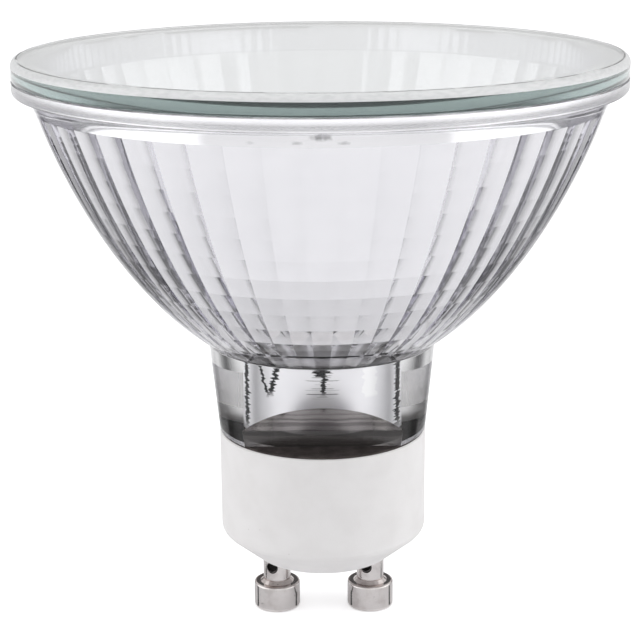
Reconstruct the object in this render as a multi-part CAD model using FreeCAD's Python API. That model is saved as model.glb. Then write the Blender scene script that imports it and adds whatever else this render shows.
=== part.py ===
import FreeCAD
import Part
import math
import os

# Halogen spotlight bulb with a two-pin twist-and-lock cap, standing on its pins.
# Millimetres, +Z up, the lamp's axis on Z and the flat ends of the pins at Z = 0.
# The pins stand along X. One file is written for each physical piece.

# Contact pins
pin_spacing = 10.0
pin_head_radius = 2.44
pin_head_height = 2.8
pin_head_edge = 0.22
pin_collar_radius = 1.8
pin_collar_height = 0.3
pin_shank_radius = 1.45
pin_reach = 6.6
pin_rivet_radius = 2.1
pin_rivet_height = 0.5
pin_bore_floor = 3.4
crimp_height = 4.7
crimp_width = 1.3
crimp_depth = 0.55
crimp_turn = 20.0

# Ceramic base
base_radius = 10.75
base_height = 13.75
base_wall = 1.75
base_floor = 3.6
base_bevel_width = 3.5
base_bevel_height = 2.9
base_edge_round = 0.25
base_bevel_round = 0.8

# Glass reflector: spigot, neck, bowl and flange
cement_film = 0.2
spigot_clearance = 0.3
spigot_depth = 6.0
neck_flare = 0.95
neck_height = 9.5
flat_depth = 3.45
flat_height = 1.65
flat_slope = 43.0
bowl_height = 26.0
bowl_rim_radius = 28.85
bowl_slimness = 0.5315
bowl_wall = 1.6
facet_columns = 50
facet_rows = 13
facet_crown = 9.0
facet_floor_radius = 8.4
facet_top_drop = 1.5
band_ledge = 0.55
flange_thickness = 1.2
flange_width = 1.45
flange_edge_round = 0.3
bowl_root_round = 0.5

# Front glass and its bond
bond_thickness = 0.1
bond_width = 1.2
bond_inset = 0.4
front_glass_thickness = 2.0
front_glass_top_round = 0.7
front_glass_foot_round = 0.2

# Capsule
capsule_radius = 4.6
capsule_wall = 0.8
capsule_height = 19.0
capsule_shoulder_round = 2.6
capsule_dome_round = 3.2
capsule_tip_radius = 0.9
capsule_tip_height = 1.5
throat_clearance = 0.6
pinch_width = 8.4
pinch_thickness = 3.0
pinch_height = 11.0
pinch_inset = 2.0
capsule_cement_height = 9.9
cement_inset = 0.6

# Filament, leads and seal foils
lead_spacing = 4.4
inner_lead_radius = 0.2
outer_lead_radius = 0.3
lead_bend = 0.8
lead_clearance = 0.05
foil_width = 1.6
foil_height = 4.6
foil_thickness = 0.1
foil_cover = 3.0
coil_radius = 0.6
coil_wire_radius = 0.11
coil_pitch = 0.5
coil_length = 8.0
coil_lift = 5.0
coil_grip = 1.0
coil_lead_gap = 1.6
fuse_radius = 0.14
fuse_start_drop = 0.5

# Heights from the pins upwards
base_bottom_z = pin_reach
base_floor_z = base_bottom_z + base_floor
base_top_z = base_bottom_z + base_height
shoulder_z = base_top_z + cement_film
spigot_bottom_z = base_top_z - spigot_depth
flat_top_z = shoulder_z + flat_height
neck_top_z = shoulder_z + neck_height
flange_bottom_z = neck_top_z + bowl_height
flange_top_z = flange_bottom_z + flange_thickness
glass_bottom_z = flange_top_z + bond_thickness
glass_top_z = glass_bottom_z + front_glass_thickness
cement_bottom_z = spigot_bottom_z + cement_inset
pinch_bottom_z = spigot_bottom_z + pinch_inset
capsule_bottom_z = pinch_bottom_z + pinch_height
capsule_top_z = capsule_bottom_z + capsule_height
foil_bottom_z = pinch_bottom_z + foil_cover
foil_top_z = foil_bottom_z + foil_height
coil_bottom_z = capsule_bottom_z + coil_lift
coil_top_z = coil_bottom_z + coil_length

# Radii that follow from the fits: the neck's foot is flush with the base, the front glass with the flange
cup_radius = base_radius - base_wall
spigot_radius = cup_radius - spigot_clearance
neck_foot_radius = base_radius
neck_top_radius = neck_foot_radius + neck_flare
flat_distance = neck_foot_radius - flat_depth
rim_radius = bowl_rim_radius + flange_width
pinch_corner_radius = math.hypot(pinch_width / 2, pinch_thickness / 2)
throat_radius = max(capsule_radius, pinch_corner_radius) + throat_clearance

AXIS = FreeCAD.Vector(0, 0, 1)
ORIGIN = FreeCAD.Vector(0, 0, 0)


def at(r, z):
    """Point of a profile in the XZ half-plane."""
    return FreeCAD.Vector(r, 0, z)


def around(r, turn, z):
    """Point at a radius, an angle about the lamp's axis and a height."""
    return FreeCAD.Vector(r * math.cos(turn), r * math.sin(turn), z)


def rounded_outline(corners):
    """Closed outline through (radius, height, rounding) corners, with a tangent arc at each rounded one."""
    count = len(corners)
    starts = []
    ends = []
    arcs = []
    for i, (r, z, rounding) in enumerate(corners):
        here = at(r, z)
        back = (at(*corners[i - 1][:2]) - here).normalize()
        ahead = (at(*corners[(i + 1) % count][:2]) - here).normalize()
        half_turn = back.getAngle(ahead) / 2
        run = rounding / math.tan(half_turn)
        starts.append(here + back * run)
        ends.append(here + ahead * run)
        middle = (back + ahead).normalize()
        sagitta = rounding / math.sin(half_turn) - rounding
        arcs.append(here + middle * sagitta if rounding > 0 else None)
    edges = []
    for i in range(count):
        if arcs[i] is not None:
            edges.append(Part.Arc(starts[i], arcs[i], ends[i]).toShape())
        edges.append(Part.LineSegment(ends[i], starts[(i + 1) % count]).toShape())
    return Part.Wire(edges)


def turned(corners):
    """Solid of revolution about the lamp's axis."""
    return Part.Face(rounded_outline(corners)).revolve(ORIGIN, AXIS, 360)


def disc(radius, low, high):
    """Plain cylinder on the lamp's axis."""
    return Part.makeCylinder(radius, high - low, at(0, low))


def wire_along(points, radius, bend):
    """Round wire on straight runs joined by tangent arcs, in the XZ plane."""
    edges = []
    start = points[0]
    for before, corner, after in zip(points, points[1:], points[2:]):
        back = (before - corner).normalize()
        ahead = (after - corner).normalize()
        half_turn = back.getAngle(ahead) / 2
        run = bend / math.tan(half_turn)
        middle = corner + (back + ahead).normalize() * (bend / math.sin(half_turn) - bend)
        edges.append(Part.LineSegment(start, corner + back * run).toShape())
        edges.append(Part.Arc(corner + back * run, middle, corner + ahead * run).toShape())
        start = corner + ahead * run
    edges.append(Part.LineSegment(start, points[-1]).toShape())
    section = Part.Wire(Part.Circle(points[0], points[1] - points[0], radius).toShape())
    return Part.Wire(edges).makePipeShell([section], True, True)


def rounded_edges(shape, radius, places):
    """Fillet the full circles that lie at the given (radius, height) places."""
    found = []
    for edge in shape.Edges:
        for r, z in places:
            low = edge.BoundBox
            level = abs(low.ZMin - z) < 1e-6 and abs(low.ZMax - z) < 1e-6
            if level and edge.isClosed() and abs(edge.Curve.Radius - r) < 1e-6:
                found.append(edge)
    return shape.makeFillet(radius, found)


def mirrored(shape):
    """The same piece on the other side of the lamp, half a turn round its axis."""
    copy = shape.copy()
    copy.rotate(ORIGIN, AXIS, 180)
    return copy


# The bowl's outside is part of an ellipsoid through the neck and the flange
bowl_centre_z = (neck_top_z + flange_bottom_z) / 2
bowl_centre_z += (bowl_rim_radius**2 - neck_top_radius**2) / (2 * bowl_slimness**2 * bowl_height)
bowl_half_length = math.hypot(neck_top_radius / bowl_slimness, bowl_centre_z - neck_top_z)
bowl_half_width = bowl_half_length * bowl_slimness


def bowl_arc(wall):
    """Ellipse of the bowl's outside, or of its inside at the given wall."""
    tip = at(0, bowl_centre_z - bowl_half_length + wall)
    side = at(bowl_half_width - wall, bowl_centre_z)
    return Part.Ellipse(tip, side, at(0, bowl_centre_z))


def bowl_height_at(wall, radius):
    """Height at which that ellipse has the given radius."""
    share = radius / (bowl_half_width - wall)
    return bowl_centre_z - (bowl_half_length - wall) * math.sqrt(1 - share**2)


def bowl_radius_at(wall, height):
    """Radius of that ellipse at the given height."""
    share = (bowl_centre_z - height) / (bowl_half_length - wall)
    return (bowl_half_width - wall) * math.sqrt(1 - share**2)


def bowl_edge(wall, low, high):
    """Stretch of that ellipse between two points, as an edge."""
    ellipse = bowl_arc(wall)
    first = ellipse.parameter(low)
    last = ellipse.parameter(high)
    return Part.ArcOfEllipse(ellipse, min(first, last), max(first, last)).toShape()


def reflector_blank():
    """Outside of the glass reflector, solid, with the two flats of the neck."""
    neck_top = at(neck_top_radius, neck_top_z)
    bowl_top = at(bowl_rim_radius, flange_bottom_z)
    lower = [
        at(0, spigot_bottom_z),
        at(spigot_radius, spigot_bottom_z),
        at(spigot_radius, shoulder_z),
        at(neck_foot_radius, shoulder_z),
        neck_top,
    ]
    upper = [
        bowl_top,
        at(rim_radius, flange_bottom_z),
        at(rim_radius, flange_top_z),
        at(0, flange_top_z),
        at(0, spigot_bottom_z),
    ]
    edges = [Part.LineSegment(a, b).toShape() for a, b in zip(lower, lower[1:])]
    edges.append(bowl_edge(0, neck_top, bowl_top))
    edges += [Part.LineSegment(a, b).toShape() for a, b in zip(upper, upper[1:])]
    blank = Part.Face(Part.Wire(edges)).revolve(ORIGIN, AXIS, 360)
    flange_edges = [(rim_radius, flange_bottom_z), (bowl_rim_radius, flange_bottom_z)]
    blank = rounded_edges(blank, flange_edge_round, flange_edges)
    blank = rounded_edges(blank, bowl_root_round, [(neck_top_radius, neck_top_z)])
    side = neck_flat()
    return blank.cut([side, mirrored(side)])


def neck_flat():
    """Wedge taken off one side of the neck: a flat from below, ending in a slope."""
    reach = neck_top_radius
    rise = (reach - flat_distance) * math.tan(math.radians(flat_slope))
    outline = [
        FreeCAD.Vector(-reach, -flat_distance, spigot_bottom_z),
        FreeCAD.Vector(-reach, -flat_distance, flat_top_z),
        FreeCAD.Vector(-reach, -reach, flat_top_z + rise),
        FreeCAD.Vector(-reach, -reach, spigot_bottom_z),
    ]
    face = Part.Face(Part.makePolygon(outline + outline[:1]))
    return face.extrude(FreeCAD.Vector(2 * reach, 0, 0))


def facet_ring(radius, height):
    """Outline of one row of facets: an arc for each, crowned a little towards the axis; one faces along -Y."""
    half = math.pi / facet_columns
    crown = radius * math.sin(half) * math.tan(math.radians(facet_crown) / 2)
    crown_radius = radius * math.cos(half) - crown
    arcs = []
    for i in range(facet_columns):
        middle = 2 * half * i - math.pi / 2
        start = around(radius, middle - half, height)
        end = around(radius, middle + half, height)
        arcs.append(Part.Arc(start, around(crown_radius, middle, height), end).toShape())
    return Part.Wire(arcs)


def facet_hollow():
    """Inside of the bowl: rows of crowned facets on an ellipsoid one wall inside the outer one."""
    low = at(facet_floor_radius, bowl_height_at(bowl_wall, facet_floor_radius))
    top_z = flange_bottom_z - facet_top_drop
    high = at(bowl_radius_at(bowl_wall, top_z), top_z)
    meridian = bowl_edge(bowl_wall, low, high).discretize(Number=facet_rows + 1)
    rings = [facet_ring(p.x, p.z) for p in sorted(meridian, key=lambda p: p.z)]
    return Part.makeLoft(rings, True, True), high


def reflector_piece(blank):
    """Pressed glass: the blank, hollowed by the facets, the plain band over them and the throat."""
    hollow, facet_top = facet_hollow()
    band = disc(facet_top.x + band_ledge, facet_top.z, flange_top_z)
    throat = disc(throat_radius, spigot_bottom_z, facet_top.z)
    return blank.cut([hollow, band, throat])


def front_glass_piece():
    """Flat round plate as wide as the flange, its top edge polished round."""
    return turned([
        (0, glass_bottom_z, 0),
        (rim_radius, glass_bottom_z, front_glass_foot_round),
        (rim_radius, glass_top_z, front_glass_top_round),
        (0, glass_top_z, 0),
    ])


def bond_piece():
    """Ring of adhesive on the flange, a little in from its edge."""
    outer = rim_radius - bond_inset
    ring = disc(outer, flange_top_z, glass_bottom_z)
    return ring.cut(disc(outer - bond_width, flange_top_z, glass_bottom_z))


def base_piece():
    """Ceramic cup, bevelled below, with a bore for each pin through its floor."""
    foot_radius = base_radius - base_bevel_width
    bevel_top_z = base_bottom_z + base_bevel_height
    cup = turned([
        (0, base_bottom_z, 0),
        (foot_radius, base_bottom_z, base_bevel_round),
        (base_radius, bevel_top_z, base_bevel_round),
        (base_radius, base_top_z, base_edge_round),
        (cup_radius, base_top_z, base_edge_round),
        (cup_radius, base_floor_z, base_edge_round),
        (0, base_floor_z, 0),
    ])
    bore = Part.makeCylinder(pin_shank_radius, base_floor, at(pin_spacing / 2, base_bottom_z))
    return cup.cut([bore, mirrored(bore)])


def pin_piece(side):
    """Headed tubular pin, riveted over the base's floor, with a crimp punched in its shank."""
    rivet_top_z = base_floor_z + pin_rivet_height
    bore_radius = outer_lead_radius + lead_clearance
    collar_z = pin_head_height + pin_collar_height
    pin = turned([
        (0, 0, 0),
        (pin_head_radius, 0, pin_head_edge),
        (pin_head_radius, pin_head_height, pin_head_edge),
        (pin_collar_radius, pin_head_height, 0),
        (pin_shank_radius, collar_z, 0),
        (pin_shank_radius, base_floor_z, 0),
        (pin_rivet_radius, base_floor_z, 0),
        (pin_rivet_radius, rivet_top_z, pin_rivet_height / 3),
        (bore_radius, rivet_top_z, 0),
        (bore_radius, pin_bore_floor, 0),
        (0, pin_bore_floor, 0),
    ])
    punch_radius = (crimp_width**2 / 4 + crimp_depth**2) / (2 * crimp_depth)
    punch_reach = pin_shank_radius - crimp_depth + punch_radius
    punch = Part.makeSphere(punch_radius, FreeCAD.Vector(0, -punch_reach, crimp_height))
    punch.rotate(ORIGIN, AXIS, -crimp_turn)
    pin = pin.cut(punch)
    pin.translate(FreeCAD.Vector(side * pin_spacing / 2, 0, 0))
    return pin


def base_cement_piece(blank):
    """Cement between the spigot and the cup, and as a film under the neck's foot."""
    film_radius = base_radius - base_edge_round / 2
    fill = disc(cup_radius, cement_bottom_z, base_top_z)
    film = disc(film_radius, base_top_z, shoulder_z)
    cement = fill.fuse(film).cut(blank)
    return cement.removeSplitter()


def capsule_cement_piece(pinch, leads):
    """Plug of cement round the pinch, in the throat of the neck."""
    plug = disc(throat_radius, cement_bottom_z, cement_bottom_z + capsule_cement_height)
    return plug.cut([pinch] + leads)


def pinch_block():
    """Flat press seal of the capsule, reaching half a wall into the bulb's floor."""
    corner = FreeCAD.Vector(-pinch_width / 2, -pinch_thickness / 2, pinch_bottom_z)
    return Part.makeBox(pinch_width, pinch_thickness, pinch_height + capsule_wall / 2, corner)


def capsule_piece(pinch, inside):
    """Quartz bulb with a round top, the stub of its exhaust tube and the pinch seal."""
    tip_z = capsule_top_z + capsule_tip_height
    bulb = turned([
        (0, capsule_bottom_z, 0),
        (capsule_radius, capsule_bottom_z, capsule_shoulder_round),
        (capsule_radius, capsule_top_z, capsule_dome_round),
        (capsule_tip_radius, capsule_top_z, 0),
        (capsule_tip_radius, tip_z, capsule_tip_radius / 2),
        (0, tip_z, 0),
    ])
    inner_radius = capsule_radius - capsule_wall
    gas = turned([
        (0, capsule_bottom_z + capsule_wall, 0),
        (inner_radius, capsule_bottom_z + capsule_wall, capsule_shoulder_round - capsule_wall),
        (inner_radius, capsule_top_z - capsule_wall, capsule_dome_round - capsule_wall),
        (0, capsule_top_z - capsule_wall, 0),
    ])
    envelope = bulb.fuse(pinch).removeSplitter()
    return envelope.cut([gas] + inside)


def foil_piece(side):
    """Thin foil that carries the current through the pinch."""
    corner = at(side * lead_spacing / 2 - foil_width / 2, foil_bottom_z)
    corner.y = -foil_thickness / 2
    return Part.makeBox(foil_width, foil_thickness, foil_height, corner)


def coil_piece():
    """Helix of wire on the lamp's axis."""
    helix = Part.makeHelix(coil_pitch, coil_length, coil_radius)
    ring = Part.Circle(at(coil_radius, 0), FreeCAD.Vector(0, 1, 0), coil_wire_radius)
    coil = Part.Wire(helix.Edges).makePipeShell([Part.Wire(ring.toShape())], True, True)
    coil.translate(at(0, coil_bottom_z))
    return coil


def inner_lead_pieces():
    """Long lead up beside the coil and into its top, short lead into its foot."""
    x = lead_spacing / 2
    over_z = coil_top_z + coil_lead_gap
    under_z = coil_bottom_z - coil_lead_gap
    long_way = [at(-x, foil_top_z), at(-x, over_z), at(0, over_z), at(0, coil_top_z - coil_grip)]
    short_way = [at(x, foil_top_z), at(x, under_z), at(0, under_z), at(0, coil_bottom_z + coil_grip)]
    return [wire_along(way, inner_lead_radius, lead_bend) for way in (long_way, short_way)]


def outer_lead_pieces():
    """Right lead from its foil to its pin; left lead to the fuse wire, which goes on to the other pin."""
    x = lead_spacing / 2
    pin_x = pin_spacing / 2
    turn_z = (base_floor_z + pin_rivet_height + spigot_bottom_z) / 2 + lead_bend
    fuse_z = spigot_bottom_z + fuse_start_drop
    low_z = turn_z - lead_bend
    to_pin = [at(x, foil_bottom_z), at(x, turn_z), at(pin_x, low_z), at(pin_x, pin_bore_floor)]
    to_fuse = [at(-x, foil_bottom_z), at(-x, fuse_z)]
    link = [at(-x, fuse_z), at(-x, turn_z), at(-pin_x, low_z), at(-pin_x, pin_bore_floor)]
    right = wire_along(to_pin, outer_lead_radius, lead_bend)
    left = wire_along(to_fuse, outer_lead_radius, lead_bend)
    fuse = wire_along(link, fuse_radius, lead_bend)
    return left, right, fuse


blank = reflector_blank()
pinch = pinch_block()
foil_left = foil_piece(-1)
foil_right = foil_piece(1)
inner_left, inner_right = inner_lead_pieces()
outer_left, outer_right, fuse = outer_lead_pieces()
pin_right = pin_piece(1)
pin_left = pin_piece(-1)

pieces = {
    "contact_pin_left": pin_left,
    "contact_pin_right": pin_right,
    "ceramic_base": base_piece(),
    "base_cement": base_cement_piece(blank),
    "reflector": reflector_piece(blank),
    "capsule_cement": capsule_cement_piece(pinch, [outer_left, outer_right, fuse]),
    "capsule_envelope": capsule_piece(
        pinch, [foil_left, foil_right, inner_left, inner_right, outer_left, outer_right]
    ),
    "seal_foil_left": foil_left,
    "seal_foil_right": foil_right,
    "inner_lead_left": inner_left,
    "inner_lead_right": inner_right,
    "outer_lead_left": outer_left,
    "outer_lead_right": outer_right,
    "fuse_wire": fuse,
    "filament_coil": coil_piece(),
    "front_glass_bond": bond_piece(),
    "front_glass": front_glass_piece(),
}

os.makedirs("parts", exist_ok=True)
for name, shape in pieces.items():
    shape.exportStep("parts/" + name + ".step")
    print(name, "solids", len(shape.Solids), "volume", round(shape.Volume, 3), "valid", shape.isValid())
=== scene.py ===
import bmesh
import bpy
import math
from mathutils import Matrix, Vector


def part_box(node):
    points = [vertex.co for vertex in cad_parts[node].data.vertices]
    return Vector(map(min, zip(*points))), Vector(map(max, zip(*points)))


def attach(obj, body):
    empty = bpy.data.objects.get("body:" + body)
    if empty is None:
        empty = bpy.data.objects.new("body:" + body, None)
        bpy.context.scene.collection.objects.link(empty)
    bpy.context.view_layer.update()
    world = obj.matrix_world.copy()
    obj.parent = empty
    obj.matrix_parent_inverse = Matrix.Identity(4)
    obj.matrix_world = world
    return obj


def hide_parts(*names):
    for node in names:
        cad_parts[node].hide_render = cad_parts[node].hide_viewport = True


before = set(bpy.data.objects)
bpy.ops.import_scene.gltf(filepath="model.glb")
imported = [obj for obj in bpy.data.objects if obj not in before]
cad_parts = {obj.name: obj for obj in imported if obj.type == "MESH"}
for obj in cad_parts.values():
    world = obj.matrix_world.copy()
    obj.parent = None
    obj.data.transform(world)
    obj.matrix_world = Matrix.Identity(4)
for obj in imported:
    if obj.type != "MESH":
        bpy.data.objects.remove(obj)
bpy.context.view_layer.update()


# Contact pins.
# Two turned brass pins with bright nickel plating, riveted over the floor of the ceramic base.
# A round punch mark in each shank grips the lead inside; it has gone dark from the punch oil.

MM = 0.001
pin_low, pin_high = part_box("contact_pin_right")
pin_offset_mm = (pin_low.x + pin_high.x) / 2 / MM
shank_radius_mm = 1.45
head_top_mm = 2.8
collar_top_mm = 3.1
punch_z_mm = 4.7
punch_radius_mm = 0.66
punch_turn = math.radians(20.0)
turned_line_depth = 0.004 * MM
nickel_bright = (0.82, 0.785, 0.775, 1)
nickel_dull = (0.66, 0.615, 0.605, 1)
flux_brown = (0.36, 0.31, 0.295, 1)
punch_dark = (0.022, 0.02, 0.02, 1)


class Signal:
    """An output socket in one material's node tree; arithmetic on it adds Math nodes."""

    def __init__(self, tree, socket=None):
        self.tree = tree
        self.socket = socket

    def node(self, kind, settings, values, output=0):
        """Add a node: its settings first, then the values or links of its sockets; gives an output."""
        made = self.tree.nodes.new("ShaderNode" + kind)
        for key, setting in settings.items():
            if key == "stops":
                ramp = made.color_ramp.elements
                while len(ramp) < len(setting):
                    ramp.new(1.0)
                for element, (place, colour) in zip(ramp, setting):
                    element.position = place
                    element.color = colour
            else:
                setattr(made, key, setting)
        for key, value in values.items():
            if isinstance(value, Signal):
                self.tree.links.new(value.socket, made.inputs[key])
            else:
                made.inputs[key].default_value = value
        return Signal(self.tree, made.outputs[output])

    def math(self, operation, *operands):
        return self.node("Math", {"operation": operation}, dict(enumerate(operands)))

    def __add__(self, other):
        return self.math("ADD", self, other)

    def __sub__(self, other):
        return self.math("SUBTRACT", self, other)

    def __rsub__(self, other):
        return self.math("SUBTRACT", other, self)

    def __mul__(self, other):
        return self.math("MULTIPLY", self, other)

    def __abs__(self):
        return self.math("ABSOLUTE", self)

    __radd__ = __add__
    __rmul__ = __mul__


def surface(name, **constants):
    """New material: its node tree, its shader and the constants set on the shader's own sockets."""
    material = bpy.data.materials.new(name)
    material.use_nodes = True
    shader = material.node_tree.nodes["Principled BSDF"]
    for key, value in constants.items():
        shader.inputs[key.replace("_", " ")].default_value = value
    return material, Signal(material.node_tree), shader


def feed(shader, socket, signal):
    """Link what varies over the surface to one socket of its shader."""
    signal.tree.links.new(signal.socket, shader.inputs[socket])


def paint(node, material):
    """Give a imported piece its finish."""
    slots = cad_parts[node].data.materials
    slots.clear()
    slots.append(material)


def millimetres(net):
    """Place on the lamp, in millimetres along each of its axes."""
    place = net.node("TexCoord", {}, {}, "Object")
    axes = net.node("SeparateXYZ", {}, {0: place}).socket.node.outputs
    return [Signal(net.tree, axis) * (1 / MM) for axis in axes]


def point(x, y, z):
    """One vector from three signals or numbers."""
    return x.node("CombineXYZ", {}, {0: x, 1: y, 2: z})


def distance(a, b):
    """Length of two offsets at right angles to each other."""
    return a.math("SQRT", a * a + b * b)


def from_nearer_pin(x):
    """Offset sideways from the axis of the nearer pin."""
    return x - x.math("SIGN", x) * pin_offset_mm


def fade(signal, low, high):
    """0 at one level and 1 at the other, smooth between them."""
    return signal.node("MapRange", {"interpolation_type": "SMOOTHSTEP"},
                       {"Value": signal, "From Min": low, "From Max": high})


def tint(mask, below, above):
    """Colour that goes from one to the other with a mask."""
    return mask.node("Mix", {"data_type": "RGBA"}, {0: mask, 6: below, 7: above}, 2)


def cloud(place, per_mm, detail=2.0):
    """Soft noise with a number of blots in each millimetre."""
    return place.node("TexNoise", {}, {"Vector": place, "Scale": per_mm, "Detail": detail})


def lines(along, per_mm, detail=3.0):
    """Noise that changes in one direction only, as tool marks and rolled or poured layers do."""
    return along.node("TexNoise", {"noise_dimensions": "1D"},
                      {"W": along, "Scale": per_mm, "Detail": detail})


def specks(place, per_mm, size):
    """Small round spots, one to a cell, as a mask."""
    off = place.node("TexVoronoi", {}, {"Vector": place, "Scale": per_mm}, "Distance")
    return fade(off, size, size / 2)


def relief(height, depth, strength=1.0):
    """Bumps of a depth in metres."""
    return height.node("Bump", {}, {"Strength": strength, "Distance": depth, "Height": height})


nickel, net, shader = surface("nickel_plating", Metallic=1.0)
x, y, z = millimetres(net)
place = point(x, y, z)
turned_lines = lines(z, 9.0)
stain = fade(cloud(place, 0.8, 4.0), 0.42, 0.75)
pits = specks(place, 1.5, 0.13) * fade(cloud(place, 0.5), 0.48, 0.56)
off_punch = distance(from_nearer_pin(x) + shank_radius_mm * math.sin(punch_turn), z - punch_z_mm)
on_front = fade(y, -0.3, -0.6)
punch = fade(off_punch, punch_radius_mm, 0.75 * punch_radius_mm) * on_front
flux = fade(z, head_top_mm - 0.12, head_top_mm - 0.02) * fade(z, collar_top_mm + 0.25, collar_top_mm)
colour = tint(stain, nickel_bright, nickel_dull)
colour = tint(flux * (0.55 + stain * 0.4), colour, flux_brown)
colour = tint(pits * 0.85, colour, punch_dark)
feed(shader, "Base Color", tint(punch, colour, punch_dark))
feed(shader, "Roughness", 0.05 + turned_lines * 0.08 + stain * 0.06 + punch * 0.5)
feed(shader, "Normal", relief(turned_lines + pits * -1.5, turned_line_depth))
for node in ("contact_pin_left", "contact_pin_right"):
    paint(node, nickel)


# Ceramic base.
# A cup of steatite ceramic, pressed dry and fired, matt white and unglazed, with a bevelled underside.
# The press leaves a fine even grain and a few faint specks.

ceramic_white = (0.825, 0.812, 0.812, 1)
ceramic_shade = (0.785, 0.770, 0.768, 1)
ceramic_speck = (0.60, 0.57, 0.55, 1)
grain_depth = 0.02 * MM

ceramic, net, shader = surface("white_ceramic", Specular_IOR_Level=0.3)
x, y, z = millimetres(net)
place = point(x, y, z)
grain = cloud(place, 7.0, 4.0)
mottle = cloud(place, 0.35, 3.0)
colour = tint(fade(mottle, 0.3, 0.8), ceramic_white, ceramic_shade)
colour = tint(specks(place, 0.55, 0.05) * 0.6, colour, ceramic_speck)
feed(shader, "Base Color", colour)
feed(shader, "Roughness", 0.66 + grain * 0.2)
feed(shader, "Normal", relief(grain, grain_depth, 0.5))
paint("ceramic_base", ceramic)


# Cements.
# Dark refractory cement, poured wet and baked hard. One ring holds the glass spigot in the ceramic cup,
# and a plug holds the capsule's pinch in the throat of the neck.

cement_dark = (0.036, 0.030, 0.029, 1)
cement_light = (0.075, 0.064, 0.062, 1)
cement_grit = (0.16, 0.145, 0.14, 1)
grit_depth = 0.05 * MM

cement, net, shader = surface("dark_cement", Specular_IOR_Level=0.25)
x, y, z = millimetres(net)
place = point(x, y, z)
pour = cloud(point(x, y, z * 3.0), 0.6, 4.0)
grit = cloud(place, 5.0, 3.0)
colour = tint(fade(pour, 0.3, 0.7), cement_dark, cement_light)
colour = tint(specks(place, 2.2, 0.12) * 0.7, colour, cement_grit)
feed(shader, "Base Color", colour)
feed(shader, "Roughness", 0.75 + grit * 0.25)
feed(shader, "Normal", relief(grit + pour, grit_depth, 0.7))
for node in ("base_cement", "capsule_cement"):
    paint(node, cement)


# Reflector.
# One piece of pressed glass: spigot, neck with a flat and a slope on two sides, bowl and flange.
# The facets inside the bowl and the throat carry a bright vapour-coated mirror, which has run a little
# in the throat, and a wash of cement has dried on the flats and slopes.

spigot_low, flange_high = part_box("reflector")
base_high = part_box("ceramic_base")[1]
cement_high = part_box("base_cement")[1]
throat_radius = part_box("capsule_cement")[1].x
rim_radius = flange_high.x
flange_width = 1.45 * MM
flange_thickness = 1.2 * MM
flange_round = 0.3 * MM
bowl_root_round = 0.5 * MM
neck_height = 9.5 * MM
neck_flare = 0.95 * MM
bowl_slimness = 0.5315
bowl_wall = 1.6 * MM
facet_columns = 50
facet_rows = 13
facet_floor_radius = 8.4 * MM
facet_top_drop = 1.5 * MM
facet_crown = math.radians(9.0)
band_ledge = 0.55 * MM
cup_radius = 9.0 * MM
spigot_clearance = 0.3 * MM
flat_depth = 3.45 * MM
flat_height = 1.65 * MM
flat_slope = math.radians(43.0)
throat_coat_drop = 8.6 * MM
contact = 0.02 * MM
wedge_margin = 1.2
reflector_sharp_turn = math.radians(25)
steps_per_facet = 6
bowl_steps = 44
neck_steps = 8
round_steps = 6
samples_per_step = 40

shoulder_z = cement_high.z
neck_foot_radius = base_high.x
neck_top_radius = neck_foot_radius + neck_flare
neck_top_z = shoulder_z + neck_height
flange_bottom_z = flange_high.z - flange_thickness
bowl_rim_radius = rim_radius - flange_width
bowl_height = flange_bottom_z - neck_top_z
bowl_centre_z = (neck_top_z + flange_bottom_z) / 2
bowl_centre_z += (bowl_rim_radius**2 - neck_top_radius**2) / (2 * bowl_slimness**2 * bowl_height)
bowl_half_length = math.hypot(neck_top_radius / bowl_slimness, bowl_centre_z - neck_top_z)
bowl_half_width = bowl_half_length * bowl_slimness


def bowl_point(wall, turn):
    """Radius and height on the bowl's ellipse, at an angle below its widest circle."""
    radius = (bowl_half_width - wall) * math.cos(turn)
    return radius, bowl_centre_z - (bowl_half_length - wall) * math.sin(turn)


def bowl_stretch(wall, low_turn, high_turn, count):
    """Points of equal spacing along a stretch of that ellipse, from its low end to its high end."""
    fine = samples_per_step * count
    points = [bowl_point(wall, low_turn + (high_turn - low_turn) * i / fine) for i in range(fine + 1)]
    lengths = [0.0]
    for a, b in zip(points, points[1:]):
        lengths.append(lengths[-1] + math.dist(a, b))
    chosen = []
    for k in range(count + 1):
        wanted = lengths[-1] * k / count
        chosen.append(min(zip(lengths, points), key=lambda pair: abs(pair[0] - wanted))[1])
    return chosen


def rounded(before, corner, after, rounding):
    """Points of the arc that rounds a profile's corner, from one side to the other."""
    back = math.atan2(before[1] - corner[1], before[0] - corner[0])
    ahead = math.atan2(after[1] - corner[1], after[0] - corner[0])
    opening = (ahead - back + math.pi) % (2 * math.pi) - math.pi
    middle = back + opening / 2
    half = abs(opening) / 2
    inset = rounding / math.sin(half)
    centre = (corner[0] + inset * math.cos(middle), corner[1] + inset * math.sin(middle))
    sweep = math.copysign(math.pi / 2 - half, opening)
    points = []
    for k in range(round_steps + 1):
        turn = middle + math.pi + sweep * (1 - 2 * k / round_steps)
        points.append((centre[0] + rounding * math.cos(turn), centre[1] + rounding * math.sin(turn)))
    return points


def ring_of(radius, z, count, wave=None):
    """Points of one ring about the lamp's axis; a wave gives the radius's change with the angle."""
    ring = []
    for i in range(count):
        angle = 2 * math.pi * i / count
        r = radius if wave is None else wave(radius, angle)
        ring.append((r * math.sin(angle), -r * math.cos(angle), z))
    return ring


def facet_wave(radius, angle):
    """Radius of a row of facets: chords of the circle, each crowned a little towards the axis."""
    half = math.pi / facet_columns
    off = (angle + half) % (2 * half) - half
    crown = half * math.tan(facet_crown) / 2 * (1 - (off / half)**2)
    return radius * (math.cos(half) / math.cos(off) - crown)


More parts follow.
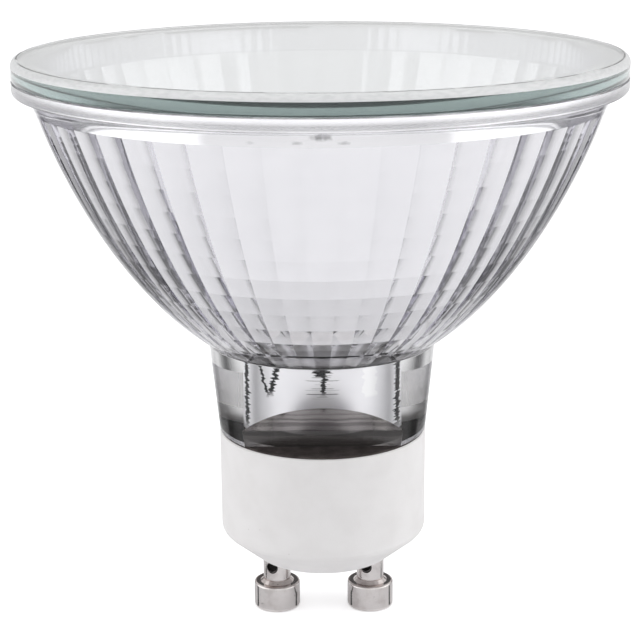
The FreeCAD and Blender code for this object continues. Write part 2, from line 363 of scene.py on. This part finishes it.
def lathe(rings, closed):
    """Shape through rings of points, with the faces of each band between two; a ring may be one point."""
    shape = bmesh.new()
    loops = [[shape.verts.new(p) for p in ring] for ring in rings]
    pairs = list(zip(loops, loops[1:]))
    if closed:
        pairs.append((loops[-1], loops[0]))
    bands = []
    for low, high in pairs:
        count = max(len(low), len(high))
        band = []
        for i in range(count):
            j = (i + 1) % count
            corners = [low[i % len(low)], low[j % len(low)], high[j % len(high)], high[i % len(high)]]
            corners = [v for k, v in enumerate(corners) if v not in corners[:k]]
            band.append(shape.faces.new(corners))
        bands.append(band)
    bmesh.ops.recalc_face_normals(shape, faces=shape.faces)
    return shape, bands


def set_finish(bands, index):
    """Give the faces of some bands one of their object's materials."""
    for band in bands:
        for face in band:
            face.material_index = index


def into_object(name, shape):
    """Mesh object from a finished shape."""
    data = bpy.data.meshes.new(name)
    shape.to_mesh(data)
    shape.free()
    made = bpy.data.objects.new(name, data)
    bpy.context.scene.collection.objects.link(made)
    return made


segments = facet_columns * steps_per_facet
outer_low = math.asin((bowl_centre_z - neck_top_z) / bowl_half_length)
outer_high = math.asin((bowl_centre_z - flange_bottom_z) / bowl_half_length)
inner_length = bowl_half_length - bowl_wall
inner_low = math.acos(facet_floor_radius / (bowl_half_width - bowl_wall))
facet_top_z = flange_bottom_z - facet_top_drop
inner_high = math.asin((bowl_centre_z - facet_top_z) / inner_length)
facet_rings = bowl_stretch(bowl_wall, inner_low, inner_high, facet_rows)
facet_floor_z = facet_rings[0][1]
band_radius = facet_rings[-1][0] + band_ledge
spigot_radius = cup_radius - spigot_clearance + contact
throat_wall = throat_radius - contact
coated_wall = throat_radius + contact
throat_coat_z = facet_floor_z - throat_coat_drop
foot_z = shoulder_z + contact
flange_top_z = flange_high.z - contact / 2
# Places of the coat, the front wash and the rear haze after the bare glass in the list of materials.
coat_face, wash_face, haze_face = 1, 2, 3

outside = [(spigot_radius, spigot_low.z), (spigot_radius, foot_z)]
for k in range(neck_steps):
    share = k / neck_steps
    outside.append((neck_foot_radius + neck_flare * share, foot_z + (neck_top_z - foot_z) * share))
bowl_outside = bowl_stretch(0, outer_low, outer_high, bowl_steps)
outside += rounded(outside[-1], bowl_outside[0], bowl_outside[1], bowl_root_round)
outside += bowl_outside[1:-1]
flange_foot = (rim_radius, flange_bottom_z)
flange_head = (rim_radius, flange_top_z)
outside += rounded(bowl_outside[-2], bowl_outside[-1], flange_foot, flange_round)
outside += rounded(bowl_outside[-1], flange_foot, flange_head, flange_round)
outside.append(flange_head)
first_coated = len(outside)
outside += [(band_radius, flange_top_z), (band_radius, facet_top_z)]
rings = [ring_of(r, z, segments) for r, z in outside]
for r, z in reversed(facet_rings):
    rings.append(ring_of(r, z, segments, facet_wave))
for z in (facet_floor_z, throat_coat_z):
    rings.append(ring_of(coated_wall, z, segments))
last_coated = len(rings) - 2
for z in (throat_coat_z, spigot_low.z):
    rings.append(ring_of(throat_wall, z, segments))
shape, bands = lathe(rings, True)
set_finish(bands[first_coated:last_coated + 1], coat_face)
reflector = into_object("reflector_body", shape)


def neck_wedge(side):
    """Block that takes one flat and its slope off the neck."""
    reach = neck_top_radius * wedge_margin
    flat_y = neck_foot_radius - flat_depth + contact
    flat_z = shoulder_z + flat_height
    far_y = reach * wedge_margin
    slope_z = flat_z + (far_y - flat_y) * math.tan(flat_slope)
    below_z = spigot_low.z - flat_depth
    outline = [(flat_y, below_z), (flat_y, flat_z), (far_y, slope_z), (far_y, below_z)]
    block = bmesh.new()
    ends = []
    for x in (-reach, reach):
        ends.append([block.verts.new((x, side * y, z)) for y, z in outline])
    for end in ends:
        block.faces.new(end)
    for i in range(len(outline)):
        j = (i + 1) % len(outline)
        block.faces.new([ends[0][i], ends[0][j], ends[1][j], ends[1][i]])
    bmesh.ops.recalc_face_normals(block, faces=block.faces)
    return into_object("neck_wedge", block)


wedges = [neck_wedge(-1), neck_wedge(1)]
for wedge in wedges:
    cut = reflector.modifiers.new("flat", "BOOLEAN")
    cut.operation = "DIFFERENCE"
    cut.solver = "EXACT"
    cut.object = wedge
evaluated = reflector.evaluated_get(bpy.context.evaluated_depsgraph_get())
cut_mesh = bpy.data.meshes.new_from_object(evaluated)
reflector.modifiers.clear()
reflector.data = cut_mesh
for wedge in wedges:
    bpy.data.objects.remove(wedge)

straight = 0.001
for face in cut_mesh.polygons:
    across, out, down = face.normal.x, abs(face.normal.y), -face.normal.z
    on_flat = out > 1 - straight**2
    on_slope = max(abs(out - math.sin(flat_slope)), abs(down - math.cos(flat_slope))) < straight
    if face.center.z < neck_top_z and abs(across) < straight and (on_flat or on_slope):
        face.material_index = wash_face if face.normal.y < 0 else haze_face

ring_heights = [z for r, z in facet_rings]


def facet_of(face):
    """Column and row of the facet that a face belongs to, or nothing outside the facets."""
    centre = face.calc_center_median()
    if face.material_index != coat_face or not ring_heights[0] < centre.z < ring_heights[-1]:
        return None
    half = math.pi / facet_columns
    column = int((math.atan2(centre.x, -centre.y) + half) // (2 * half)) % facet_columns
    return column, sum(z < centre.z for z in ring_heights)


def mark_edges(data, sharp_turn, part_of=None):
    """Smooth shading, with hard edges at sharp turns and between the parts of a surface."""
    shape = bmesh.new()
    shape.from_mesh(data)
    for face in shape.faces:
        face.smooth = True
    for edge in shape.edges:
        if len(edge.link_faces) == 2:
            a, b = edge.link_faces
            apart = part_of is not None and part_of(a) != part_of(b)
            edge.smooth = edge.calc_face_angle() < sharp_turn and not apart
    shape.to_mesh(data)
    shape.free()


mark_edges(reflector.data, reflector_sharp_turn, facet_of)

glass_bend = 1.52
ripple_depth = 0.05 * MM
glass_clear = (0.985, 0.985, 0.99, 1)
coat_silver = (0.885, 0.880, 0.903, 1)
coat_cloudy = (0.862, 0.858, 0.882, 1)
coat_fresh = (0.97, 0.97, 0.975, 1)
coat_torn = (0.02, 0.02, 0.024, 1)
# Painted shade: the lowest facets are darker, in place of the shaded floor near the lamp that they reflect.
coat_painted_shade = (0.62, 0.605, 0.615, 1)
wash_thin = (0.20, 0.182, 0.178, 1)
wash_thick = (0.085, 0.076, 0.075, 1)
haze_thick = (0.62, 0.60, 0.60, 1)
haze_thin = (0.94, 0.935, 0.935, 1)
rim_mm = rim_radius / MM
band_mm = band_radius / MM
throat_mm = throat_radius / MM
mouth_mm = facet_floor_z / MM
ledge_mm = facet_top_z / MM
coat_top_mm = flange_top_z / MM

pressed_glass, net, shader = surface("pressed_glass", Base_Color=glass_clear, IOR=glass_bend,
                                     Transmission_Weight=1.0)
x, y, z = millimetres(net)
ripple = cloud(point(x, y, z * 0.5), 0.22, 1.0)
feed(shader, "Roughness", fade(distance(x, y), rim_mm - 0.5, rim_mm - 0.1) * 0.22)
feed(shader, "Normal", relief(ripple, ripple_depth, 0.5))


def strongest(*masks):
    """The largest of several masks at each place."""
    most = masks[0]
    for mask in masks[1:]:
        most = most.math("MAXIMUM", most, mask)
    return most


def throat_side(turn, start):
    """Millimetres round the throat from a starting angle in degrees."""
    return (turn - math.radians(start)) * throat_mm


def down_to(drop, length):
    """Mask of the throat from its mouth down to a depth in millimetres."""
    return fade(drop, length, 0.8 * length) * fade(drop, 0.05, 0.25)


def torn_run(turn, z, start, lean, length, width):
    """Mask of a run in the throat's coat: a wavering torn line down from the mouth, in millimetres."""
    seed = start * 10
    drop = mouth_mm - z
    wander = (lines(z + seed, 1.6) - 0.5) * 0.8
    torn = (lines(z - seed, 4.5) - 0.25) * 1.8 * width
    side = abs(throat_side(turn, start) - drop * lean + wander)
    return fade(side - torn, 0.1, 0.0) * down_to(drop, length)


def torn_ribs(turn, z, start, length, width):
    """Mask of the fine level tears beside a run."""
    reach = (lines(z - start, 2.6) - 0.25) * 2.0 * width
    ribs = fade(lines(z + start, 5.6), 0.57, 0.63)
    beside = fade(abs(throat_side(turn, start)) - reach, 0.2, 0.0)
    return ribs * beside * down_to(mouth_mm - z, length)


def dark_coat_spot(turn, z, place, start, height, width, share):
    """Mask of a ragged dark spot on the coat above the facets, in millimetres from the ledge."""
    side = (turn - math.radians(start)) * (band_mm / width)
    up = (z - ledge_mm - height) * (3.0 / width)
    ragged = (cloud(place, 2.0) - 0.5) * 1.2
    return fade(distance(side, up) + ragged, 1.2, 0.1) * share


# Each run: degrees round from the front, lean, length and width.
front_runs = ((-66.0, 0.26, 4.6, 0.24), (-40.0, -0.24, 4.4, 0.42),
              (-1.0, 0.0, 1.9, 0.95), (1.0, 0.0, 4.0, 0.28))
rear_runs = ((128.0, 0.1, 4.4, 0.4), (-150.0, -0.1, 5.0, 0.35))
side_runs = ((-88.0, 0.0, 9.0, 0.8), (87.0, 0.0, 9.0, 1.05))
# Each spot: degrees round from the front, height, width and how dark it is.
rim_spots = ((0.0, 0.95, 1.1, 0.75), (-12.5, 0.4, 0.5, 0.2),
             (-4.3, 0.42, 0.55, 0.4), (4.0, 0.4, 0.6, 0.4))
fresh_turn = 45.0

mirror_coat, net, shader = surface("mirror_coat", Metallic=1.0)
x, y, z = millimetres(net)
place = point(x, y, z)
turn = x.math("ARCTAN2", x, y * -1.0)
mouth_tear = fade(abs(z - mouth_mm + 0.12), 0.09, 0.04) * fade(cloud(place, 0.35), 0.48, 0.54)
runs = strongest(*[torn_run(turn, z, *run) for run in front_runs + rear_runs + side_runs],
                 torn_ribs(turn, z, 0.0, 4.2, 1.5), mouth_tear)
frayed = fade(z, coat_top_mm - 0.32, coat_top_mm - 0.2) * fade(cloud(place, 0.16), 0.42, 0.5)
frayed_and_spots = strongest(frayed, *[dark_coat_spot(turn, z, place, *spot) for spot in rim_spots])
fresh = fade(abs(throat_side(turn, fresh_turn) + (lines(z, 1.3) - 0.5) * 0.8), 0.75, 0.55)
fresh = fresh * fade(z, mouth_mm - 4.4, mouth_mm - 4.0) * fade(z, mouth_mm, mouth_mm - 0.1)
clouding = fade(cloud(place, 0.25, 4.0), 0.35, 0.75)
in_throat = fade(z, mouth_mm + 0.05, mouth_mm - 0.05)
# Painted shade: the lowest facets above the throat are darker and duller, in place of the shaded floor they
# reflect.
lowest_facets_shade = fade(z, mouth_mm + 1.8, mouth_mm + 0.6) * (1.0 - in_throat)
colour = tint(clouding, coat_silver, coat_cloudy)
colour = tint(fresh, colour, coat_fresh)
colour = tint(lowest_facets_shade * 0.9, colour, coat_painted_shade)
feed(shader, "Base Color", tint(strongest(runs, frayed_and_spots * 0.8), colour, coat_torn))
feed(shader, "Roughness", 0.025 + clouding * 0.03 + in_throat * 0.3 + lowest_facets_shade * 0.12 + runs * 0.4)


def dried_layers(net):
    """Uneven level layers, as a wash of cement leaves when it dries."""
    x, y, z = millimetres(net)
    return lines(z + cloud(point(x, y, z), 0.3) * 0.7, 1.5, 4.0)


cement_wash, net, shader = surface("cement_wash", IOR=glass_bend, Transmission_Weight=0.6)
layers = dried_layers(net)
feed(shader, "Base Color", tint(fade(layers, 0.62, 0.4), wash_thin, wash_thick))
feed(shader, "Roughness", 0.12 + layers * 0.2)

cement_haze, net, shader = surface("cement_haze", IOR=glass_bend, Transmission_Weight=1.0)
layers = dried_layers(net)
feed(shader, "Base Color", tint(layers, haze_thick, haze_thin))
feed(shader, "Roughness", 0.3 + layers * 0.3)

for material in (pressed_glass, mirror_coat, cement_wash, cement_haze):
    reflector.data.materials.append(material)
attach(reflector, "root")
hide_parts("reflector")


# Capsule, filament and leads.
# A blown quartz capsule, pressed flat at its foot round two foils that seal the current leads.
# Inside it a wound tungsten coil hangs between two wires; a thin fuse wire joins one lead to its pin.

quartz_bend = 1.46
quartz_wave_depth = 0.04 * MM
draw_depth = 0.004 * MM
quartz_clear = (0.985, 0.988, 0.99, 1)
tungsten_dark = (0.13, 0.125, 0.13, 1)
tungsten_light = (0.27, 0.265, 0.27, 1)
wire_grey = (0.47, 0.465, 0.47, 1)
wire_dark = (0.27, 0.26, 0.255, 1)
foil_grey = (0.40, 0.395, 0.40, 1)
foil_blue = (0.30, 0.31, 0.36, 1)
fuse_bright = (0.66, 0.64, 0.60, 1)
fuse_dull = (0.46, 0.44, 0.41, 1)

quartz, net, shader = surface("quartz", Base_Color=quartz_clear, Roughness=0.0, IOR=quartz_bend,
                              Transmission_Weight=1.0)
x, y, z = millimetres(net)
wave = cloud(point(x, y, z * 0.4), 0.35, 1.0)
feed(shader, "Normal", relief(wave, quartz_wave_depth, 0.4))
paint("capsule_envelope", quartz)


def drawn_metal(name, bright, dull, per_mm, roughness):
    """Finish of a drawn or rolled metal: fine lines, and patches dulled by heat."""
    material, net, shader = surface(name, Metallic=1.0)
    x, y, z = millimetres(net)
    draw = cloud(point(x, y, z * 0.15), per_mm, 3.0)
    heat = fade(cloud(point(x, y, z), 0.6, 2.0), 0.35, 0.7)
    feed(shader, "Base Color", tint(heat, bright, dull))
    feed(shader, "Roughness", roughness + draw * 0.25)
    feed(shader, "Normal", relief(draw, draw_depth, 0.6))
    return material


tungsten = drawn_metal("tungsten_coil", tungsten_light, tungsten_dark, 12.0, 0.32)
lead_wire = drawn_metal("lead_wire", wire_grey, wire_dark, 14.0, 0.22)
seal_foil = drawn_metal("seal_foil", foil_grey, foil_blue, 10.0, 0.28)
fuse_metal = drawn_metal("fuse_metal", fuse_bright, fuse_dull, 16.0, 0.25)
paint("filament_coil", tungsten)
paint("fuse_wire", fuse_metal)
for side in ("left", "right"):
    paint("inner_lead_" + side, lead_wire)
    paint("outer_lead_" + side, lead_wire)
    paint("seal_foil_" + side, seal_foil)


# Bond of the front glass.
# A thin ring of clear adhesive, laid on the flange and squeezed flat by the front glass.
# It has small bubbles, and dust sits on the bead along its inner edge.

bond_clear = (0.93, 0.93, 0.935, 1)
bond_cloudy = (0.80, 0.80, 0.81, 1)
bond_bead = (0.10, 0.10, 0.105, 1)
bead_radius_mm = 28.7
bond_bend = 1.48

bond, net, shader = surface("clear_bond", Roughness=0.25, IOR=bond_bend, Transmission_Weight=1.0)
x, y, z = millimetres(net)
place = point(x, y, z)
bubbles = cloud(place, 1.4, 3.0)
bead = fade(distance(x, y), bead_radius_mm + 0.2, bead_radius_mm + 0.1) * fade(cloud(place, 0.14), 0.4, 0.5)
colour = tint(fade(bubbles, 0.45, 0.65), bond_clear, bond_cloudy)
feed(shader, "Base Color", tint(bead * 0.9, colour, bond_bead))
paint("front_glass_bond", bond)


# Front glass.
# A round plate of clear float glass, cut and ground: a matt rounded arris along its top, with grinding
# dust in the seam inside it, and a smoother rim below. Seen through its rim the plate is green.

plate_low, plate_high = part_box("front_glass")
plate_radius = plate_high.x
plate_top_round = 0.7 * MM
plate_foot_round = 0.2 * MM
plate_edge_strip = 0.05 * MM
plate_sharp_turn = math.radians(40)
plate_bottom_z = plate_low.z + contact / 2
plate_clear = (0.990, 0.993, 0.994, 1)
plate_absorbs = (0.0, 0.19, 0.17, 1)
plate_density = 20.0
rim_pale = (0.97, 0.99, 0.985, 1)
rim_green = (0.74, 0.77, 0.775, 1)
arris_white = (0.90, 0.905, 0.91, 1)
arris_grey = (0.80, 0.81, 0.815, 1)
seam_dark = (0.10, 0.10, 0.105, 1)
arris_face = 1

foot = (plate_radius, plate_bottom_z)
head = (plate_radius, plate_high.z)
plate_profile = rounded((0, plate_bottom_z), foot, head, plate_foot_round)
plate_profile += rounded(foot, head, (0, plate_high.z), plate_top_round)
plate_profile.insert(0, (plate_profile[0][0] - plate_edge_strip, plate_bottom_z))
plate_profile.append((plate_profile[-1][0] - plate_edge_strip, plate_high.z))
rings = [[(0, 0, plate_bottom_z)]]
rings += [ring_of(r, z, segments) for r, z in plate_profile]
rings.append([(0, 0, plate_high.z)])
shape, bands = lathe(rings, False)
set_finish(bands[-2 - round_steps:-2], arris_face)
front_plate = into_object("front_plate", shape)
mark_edges(front_plate.data, plate_sharp_turn)

plate_mm = plate_radius / MM
arris_foot_mm = (plate_high.z - plate_top_round) / MM
seam_mm = (plate_radius - plate_top_round) / MM


def grinding(x, y, z):
    """Uneven marks of the grinding wheel, drawn out round the rim."""
    return cloud(point(x, y, z * 4.0), 1.2, 3.0)


float_glass, net, shader = surface("float_glass", IOR=glass_bend, Transmission_Weight=1.0)
x, y, z = millimetres(net)
on_rim = fade(distance(x, y), plate_mm - 0.15, plate_mm - 0.03) * fade(z, arris_foot_mm + 0.12, arris_foot_mm)
depth = fade(z, arris_foot_mm, plate_bottom_z / MM)
feed(shader, "Base Color", tint(on_rim, plate_clear, tint(depth, rim_pale, rim_green)))
feed(shader, "Roughness", on_rim * grinding(x, y, z) * 0.08)
absorbed = net.node("VolumeAbsorption", {}, {"Color": plate_absorbs, "Density": plate_density})
feed(float_glass.node_tree.nodes["Material Output"], "Volume", absorbed)

ground_arris, net, shader = surface("ground_arris", IOR=glass_bend, Transmission_Weight=0.3)
x, y, z = millimetres(net)
grind = grinding(x, y, z)
dust = fade(cloud(point(x, y, z), 0.2, 4.0), 0.4, 0.52)
seam = fade(distance(x, y), seam_mm + 0.2, seam_mm + 0.12) * dust
colour = tint(fade(grind, 0.35, 0.7), arris_white, arris_grey)
feed(shader, "Base Color", tint(seam * 0.9, colour, seam_dark))
feed(shader, "Roughness", 0.4 + grind * 0.2)

for material in (float_glass, ground_arris):
    front_plate.data.materials.append(material)
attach(front_plate, "root")
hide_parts("front_glass")


# Floor.
# A wide sheet of white paper that the lamp stands on. The camera sees it as plain white with the
# lamp's shadow; glass and mirrors see it greyer near the lamp and white further off.

floor_reach = 3.0
floor_drop = 0.02 * MM
floor_white = (0.93, 0.93, 0.94, 1)
floor_lift = 0.42
floor_lift_in_glass = 0.05
floor_far_share = 0.85
floor_near_mm = 120.0
floor_far_mm = 260.0


def shown(net, mirrored):
    """1 for what the camera sees straight, and a share of that for what it sees by way of glass and metal."""
    path = net.node("LightPath", {}, {}).socket.node.outputs
    names = ("Is Camera Ray", "Is Glossy Ray", "Is Transmission Ray")
    straight, glossy, through = [Signal(net.tree, path[name]) for name in names]
    return strongest(straight, strongest(glossy, through) * mirrored)


corners = [(-1, -1), (1, -1), (1, 1), (-1, 1)]
shape = bmesh.new()
shape.faces.new([shape.verts.new((floor_reach * x, floor_reach * y, -floor_drop)) for x, y in corners])
floor = into_object("floor", shape)

pale_floor, net, shader = surface("pale_floor", Base_Color=floor_white, Roughness=0.9,
                                  Emission_Strength=floor_lift)
x, y, z = millimetres(net)
far_off = fade(distance(x, y), floor_near_mm, floor_far_mm)
feed(shader, "Emission Color", shown(net, floor_lift_in_glass / floor_lift + far_off * floor_far_share))
floor.data.materials.append(pale_floor)


# Dark cards.
# Grey card laid and stood behind the lamp, as product photographers do, so that bright glass and metal
# get dark edges. It is airbrushed: dark low down at both sides, and higher up straight behind the lamp.
# Where it lies on the floor near the lamp it is partly painted shadow, seen by glass and metal in place of
# the lamp's own shade on the floor.
# A small dark sheet under the lamp is painted shadow: glass and metal see it in place of the lamp's shadow
# on the floor, and a dark strip on it shows in each pin as a painted shadow line.

card_dark = (0.04, 0.04, 0.042, 1)
card_lift = 0.5 * MM
card_foot_side = 28.0 * MM
card_foot_back = 68.0 * MM
card_radius = 110.0 * MM
card_height = 110.0 * MM
card_steps = 120
# Degrees round from the front, and how dark the low part of the card is there.
card_shades = ((0.0, 0.0), (82.8, 0.0), (99.0, 0.35), (108.0, 0.8),
               (117.0, 1.0), (139.5, 1.0), (147.6, 0.5), (156.6, 0.12))
middle_dark = 0.92
high_dark = 0.05
# Darkness of the painted shadow under the lamp, and of the painted shadow lines that the pins reflect.
shade_dark = 0.2
pin_shadow_dark = 0.75
shade_radius = 34.0 * MM
shade_lift = 0.3 * MM
strip_start = math.radians(57.0)
strip_turn = math.radians(114.0)


def card_foot(radius, angle):
    """Inner edge of the card on the floor: near the lamp at its sides, further off straight behind it."""
    return radius + (card_foot_back - radius) * max(0.0, -math.cos(angle))**6


rings = [ring_of(card_foot_side, card_lift, card_steps, card_foot)]
rings += [ring_of(card_radius, z, card_steps) for z in (card_lift, card_height)]
card = into_object("dark_card", lathe(rings, False)[0])

card_grey, net, shader = surface("card_grey", Base_Color=card_dark, Roughness=0.9)
x, y, z = millimetres(net)
radius = distance(x, y)
degrees = x.math("ARCTAN2", abs(x), y * -1.0) * (180 / math.pi)
stops = [(turned / 180, (dark, dark, dark, 1)) for turned, dark in card_shades]
beside = net.node("ValToRGB", {"stops": stops}, {0: degrees * (1 / 180)})
close_behind = fade(radius, 68.0, 48.0) * fade(degrees, 114.0, 126.0)
far_beside = fade(radius, 60.0, 80.0) * fade(degrees, 138.0, 124.0)
# Partly painted shadow: low down near the lamp the card stands in for the lamp's shade on the floor.
low = beside * (1.0 - close_behind * 0.8) * (1.0 - far_beside * 0.6) * fade(z, 34.0, 24.0)
middle = fade(degrees, 156.0, 172.0) * fade(z, 34.0, 42.0) * fade(z, 66.0, 60.0) * middle_dark
high = fade(degrees, 100.0, 125.0) * fade(z, 56.0, 64.0) * fade(z, 112.0, 92.0) * high_dark
feed(shader, "Alpha", strongest(low, middle, high))
card.data.materials.append(card_grey)

# Painted shadow: a dark disc under the lamp that only glass and metal see.
rings = [[(0, 0, shade_lift)], ring_of(shade_radius, shade_lift, card_steps)]
shade = into_object("shade_card", lathe(rings, False)[0])

shade_grey, net, shader = surface("shade_grey", Base_Color=card_dark, Roughness=0.9)
x, y, z = millimetres(net)
radius = distance(x, y)
head_radius_mm = (pin_high.x - pin_low.x) / 2 / MM
off_x = abs(from_nearer_pin(x)) - head_radius_mm * math.sin(strip_start)
off_y = y + head_radius_mm * math.cos(strip_start)
along = off_x * math.sin(strip_turn) - off_y * math.cos(strip_turn)
aside = abs(off_x * math.cos(strip_turn) + off_y * math.sin(strip_turn))
# Painted shadow line: a dark strip on the disc beside each pin, which the pin's head reflects.
pin_shadow_strip = fade(aside - along * 0.1, 0.14, 0.04) * fade(along, -0.1, 0.1) * fade(radius, 18.0, 14.0)
feed(shader, "Alpha", fade(radius, shade_radius / MM, 20.0) * shade_dark + pin_shadow_strip * pin_shadow_dark)
shade.data.materials.append(shade_grey)

for unseen in (card, shade):
    unseen.visible_camera = False
    unseen.visible_diffuse = False
    unseen.visible_shadow = False


# Light.
# Even light from a white room, and one large soft lamp on each side, higher than the bulb.
# Mirrors and glass see two bright boxes with soft edges in the room in place of the lamps.

world_light = 0.60
room_white = (1, 1, 1, 1)
room_in_mirror = 0.81
box_in_mirror = 1.1
box_directions = ((-0.877, -0.16, 0.454), (0.87, -0.10, 0.482))
box_edge = 0.82
box_full = 0.88
lamp_size = 0.8
lamp_aim = Vector((0.0, 0.0, 0.03))
lamps = (("soft_lamp_left", (-0.55, -0.10, 0.34), 2.1), ("soft_lamp_right", (0.55, -0.06, 0.38), 2.5))

world = bpy.data.worlds.new("studio")
bpy.context.scene.world = world
world.use_nodes = True
room = world.node_tree.nodes["Background"]
room.inputs["Color"].default_value = room_white
net = Signal(world.node_tree)
outward = net.node("TexCoord", {}, {}, "Generated")
boxes = []
for direction in box_directions:
    towards = net.node("VectorMath", {"operation": "DOT_PRODUCT"}, {0: outward, 1: direction}, "Value")
    boxes.append(fade(towards, box_edge, box_full))
seen = shown(net, room_in_mirror + strongest(*boxes) * box_in_mirror)
feed(room, "Strength", seen * (1.0 - world_light) + world_light)

for name, lamp_place, lamp_power in lamps:
    lamp = bpy.data.objects.new(name, bpy.data.lights.new(name, "AREA"))
    bpy.context.scene.collection.objects.link(lamp)
    lamp.data.size = lamp_size
    lamp.data.energy = lamp_power
    lamp.location = lamp_place
    lamp.rotation_euler = (lamp.location - lamp_aim).to_track_quat("Z", "Y").to_euler()
    lamp.visible_glossy = False
    lamp.visible_transmission = False


# Camera.
# It stands in front of the lamp and a little above its rim, and looks slightly down.
# The picture leans by less than half a degree, as the photograph does.

camera_place = (-0.20 * MM, -170.0 * MM, 78.98 * MM)
camera_dip = math.radians(15.53)
camera_roll = math.radians(-0.4)
camera_lens_mm = 96.18
camera_sensor_mm = 36.0
camera_near = 10.0 * MM

camera = bpy.data.objects.new("camera", bpy.data.cameras.new("camera"))
bpy.context.scene.collection.objects.link(camera)
camera.location = camera_place
upright = Matrix.Rotation(math.pi / 2 - camera_dip, 3, "X")
camera.rotation_euler = (upright @ Matrix.Rotation(camera_roll, 3, "Z")).to_euler()
camera.data.lens = camera_lens_mm
camera.data.sensor_width = camera_sensor_mm
camera.data.clip_start = camera_near
bpy.context.scene.camera = camera

cycles = bpy.context.scene.cycles
cycles.max_bounces = 32
cycles.glossy_bounces = 24
cycles.transmission_bounces = 24
bpy.context.scene.view_settings.view_transform = "Standard"
